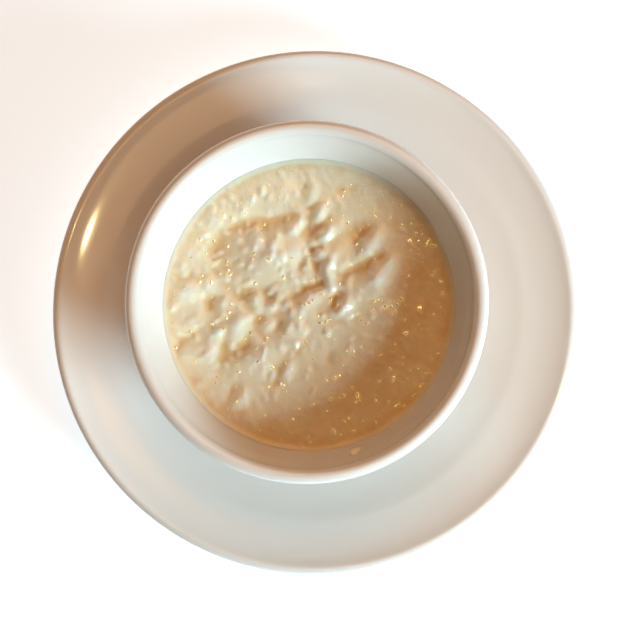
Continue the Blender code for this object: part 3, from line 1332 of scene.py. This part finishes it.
@dataclass
class Stage:
    """The table, the light and the camera."""

    target: Triple = (3.3 * MM, -4.5 * MM, 40.0 * MM)
    camera_distance: float = 0.44
    camera_azimuth: float = 38.0
    camera_elevation: float = 85.8
    lens: float = 81.3
    sensor: float = 36.0
    floor_size: float = 14.0
    lamps_aim: Triple = (0.0, 0.0, 40.0 * MM)
    bulb_size: float = 0.03
    bulb_light: Colour = (1.0, 0.78, 0.34)
    glint_light: Colour = (1.0, 0.78, 0.30)

    @staticmethod
    def direction(azimuth: float, elevation: float) -> Vector:
        """The way from the object to something seen at an azimuth and an elevation."""
        a, e = math.radians(azimuth), math.radians(elevation)
        return Vector((math.sin(a) * math.cos(e), -math.cos(a) * math.cos(e), math.sin(e)))

    def floor(self) -> None:
        """Lays the table."""
        leave_all_unselected()
        bpy.ops.mesh.primitive_plane_add(size=self.floor_size)
        top = bpy.context.object
        top.name = "table_top"
        top.data.materials.append(TableTop("matt_table").build())

    def lamp(self, name: str, azimuth: float, elevation: float, power: float, colour: Colour,
             distance: float = 1.3, size: float = 0.8) -> bpy.types.Object:
        """Hangs a square lamp that faces the object.

        Args:
            name: The lamp's name.
            azimuth: Where it hangs round the object, in degrees from the front.
            elevation: How high it hangs, in degrees.
            power: Its power, in watts.
            colour: Its light's colour.
            distance: How far it is, in metres.
            size: The length of its side, in metres.

        Returns:
            The lamp.
        """
        light = bpy.data.lights.new(name, "AREA")
        light.shape = "SQUARE"
        light.size = size
        light.energy = power
        light.color = colour
        lamp = bpy.data.objects.new(name, light)
        bpy.context.scene.collection.objects.link(lamp)
        way = self.direction(azimuth, elevation)
        lamp.location = Vector(self.lamps_aim) + way * distance
        lamp.rotation_euler = way.to_track_quat("Z", "Y").to_euler()
        lamp.visible_camera = False
        return lamp

    def light(self) -> None:
        """Sets the daylight from a window, the warm room light and the world."""
        self.lamp("window", azimuth=55.0, elevation=23.0, power=17.5, colour=(0.64, 0.89, 1.0),
                  distance=1.1, size=0.42)
        self.lamp("room_back", azimuth=165.0, elevation=58.0, power=5.8, colour=(1.0, 0.43, 0.13))
        self.lamp("room_front", azimuth=22.0, elevation=58.0, power=0.6, colour=(1.0, 0.60, 0.36))
        world = bpy.data.worlds.new("room")
        world.use_nodes = True
        wires = Nodes(world.node_tree)
        seen = wires.add("LightPath").outputs["Is Camera Ray"]
        glow = world.node_tree.nodes["Background"]
        colour = wires.mix(seen, (1.0, 0.74, 0.54), (0.93, 0.93, 0.93))
        strength = wires.math("MULTIPLY_ADD", seen, 0.92, 0.04)
        wires.fill(glow, {"Color": colour, "Strength": strength})
        bpy.context.scene.world = world

    @staticmethod
    def only_on(lamp: bpy.types.Object, pieces: list[bpy.types.Object]) -> None:
        """Makes a lamp shine on some pieces and nothing else.

        Args:
            lamp: The lamp.
            pieces: What it shines on.
        """
        lit = bpy.data.collections.new(f"lit_by_{lamp.name}")
        for piece in pieces:
            lit.objects.link(piece)
        lamp.light_linking.receiver_collection = lit

    def fill(self, china: list[bpy.types.Object], grain: bpy.types.Object) -> None:
        """Lifts the china's shaded sides with the grain stuck on it, and lights up the saucer.

        Args:
            china: The saucer, then the bowl.
            grain: The grain stuck on the bowl's wall.
        """
        bulb = self.lamp("china_bulb", azimuth=77.0, elevation=65.5, power=3.0,
                         colour=self.bulb_light, size=self.bulb_size)
        bulb.visible_diffuse = False
        self.only_on(bulb, china[:1])
        lamp = self.lamp("china_fill", azimuth=40.0, elevation=62.0, power=4.4,
                         colour=(1.0, 0.67, 0.39))
        self.only_on(lamp, [*china, grain])

    def sparkle(self, wet: list[bpy.types.Object]) -> None:
        """Adds small bulbs that only glint in the bubbles.

        Args:
            wet: The pieces that glint.
        """
        for azimuth, elevation in ((69.0, 62.0), (6.0, 54.0), (215.0, 62.0)):
            bulb = self.lamp("glint_bulb", azimuth, elevation, power=800.0,
                             colour=self.glint_light, size=self.bulb_size)
            bulb.visible_diffuse = False
            self.only_on(bulb, wet)

    def camera(self) -> None:
        """Sets the camera almost straight above the bowl."""
        data = bpy.data.cameras.new("camera")
        data.lens = self.lens
        data.sensor_width = self.sensor
        eye = bpy.data.objects.new("camera", data)
        bpy.context.scene.collection.objects.link(eye)
        way = self.direction(self.camera_azimuth, self.camera_elevation)
        eye.location = Vector(self.target) + way * self.camera_distance
        right = Vector((0, 1, 0)).cross(way).normalized()
        up = way.cross(right)
        columns = (right, up, way)
        turned_by = [[c[row] for c in columns] for row in range(3)]
        eye.rotation_euler = Matrix(turned_by).to_euler()
        bpy.context.scene.camera = eye

    def build(self) -> None:
        """Sets up everything that isn't the object."""
        self.floor()
        self.light()
        self.camera()
        bpy.context.scene.view_settings.view_transform = "Standard"


def main() -> None:
    """Builds the stage and every piece in order."""
    logging.basicConfig(level=logging.INFO, format="%(name)s: %(message)s")
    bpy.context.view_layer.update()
    stage = Stage()
    stage.build()
    groups = Groups()
    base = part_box("bowl")[0].z
    bowl = Bowl(base=base)
    china = [
        Saucer().build(GlazedChina("saucer_glaze", foot_level=0.0).build(groups)),
        bowl.build(GlazedChina("bowl_glaze", foot_level=base).build(groups)),
    ]
    cream = RiceCream("rice_cream").build(groups)
    pudding = Pudding(bowl)
    rice = Rice(pudding)
    cooked = CookedRice("cooked_rice").build(groups)
    pudding.build(cream)
    rice.sunk(cooked)
    dried = CookedRice("dried_rice", grain=(0.96, 0.91, 0.80), core=(0.97, 0.93, 0.85))
    stage.fill(china, rice.stuck(dried.build(groups)))
    stage.sparkle([Bubbles(pudding).build(WetBubble("wet_bubble").build())])


if __name__ == "__main__":
    main()
